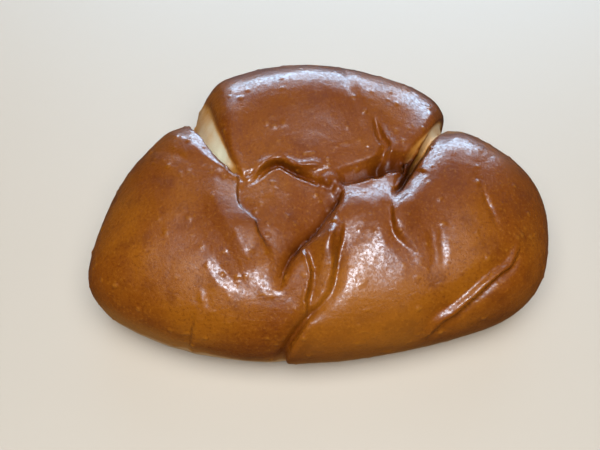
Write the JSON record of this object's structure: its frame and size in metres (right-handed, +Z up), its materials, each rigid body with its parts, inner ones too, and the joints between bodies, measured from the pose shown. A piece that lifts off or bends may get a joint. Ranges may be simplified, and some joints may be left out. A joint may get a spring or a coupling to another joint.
{
  "type": "cream bun",
  "caption": "Glossy baked cream bun in glove shape, with cut lobes at the back and folded crust on top.",
  "frame": {"origin": "middle of the bounding box, at the flat base the bun rests on", "axes": "+X along the bun's long side to the right, +Y towards the side with the cut lobes, +Z up"},
  "size_m": [0.1282, 0.0928, 0.0379],
  "materials": {
    "crust": "egg-glazed baked crust, pale dough in the cuts"
  },
  "bodies": {
    "root": {"cream_bun": "crust"}
  },
  "joints": []
}
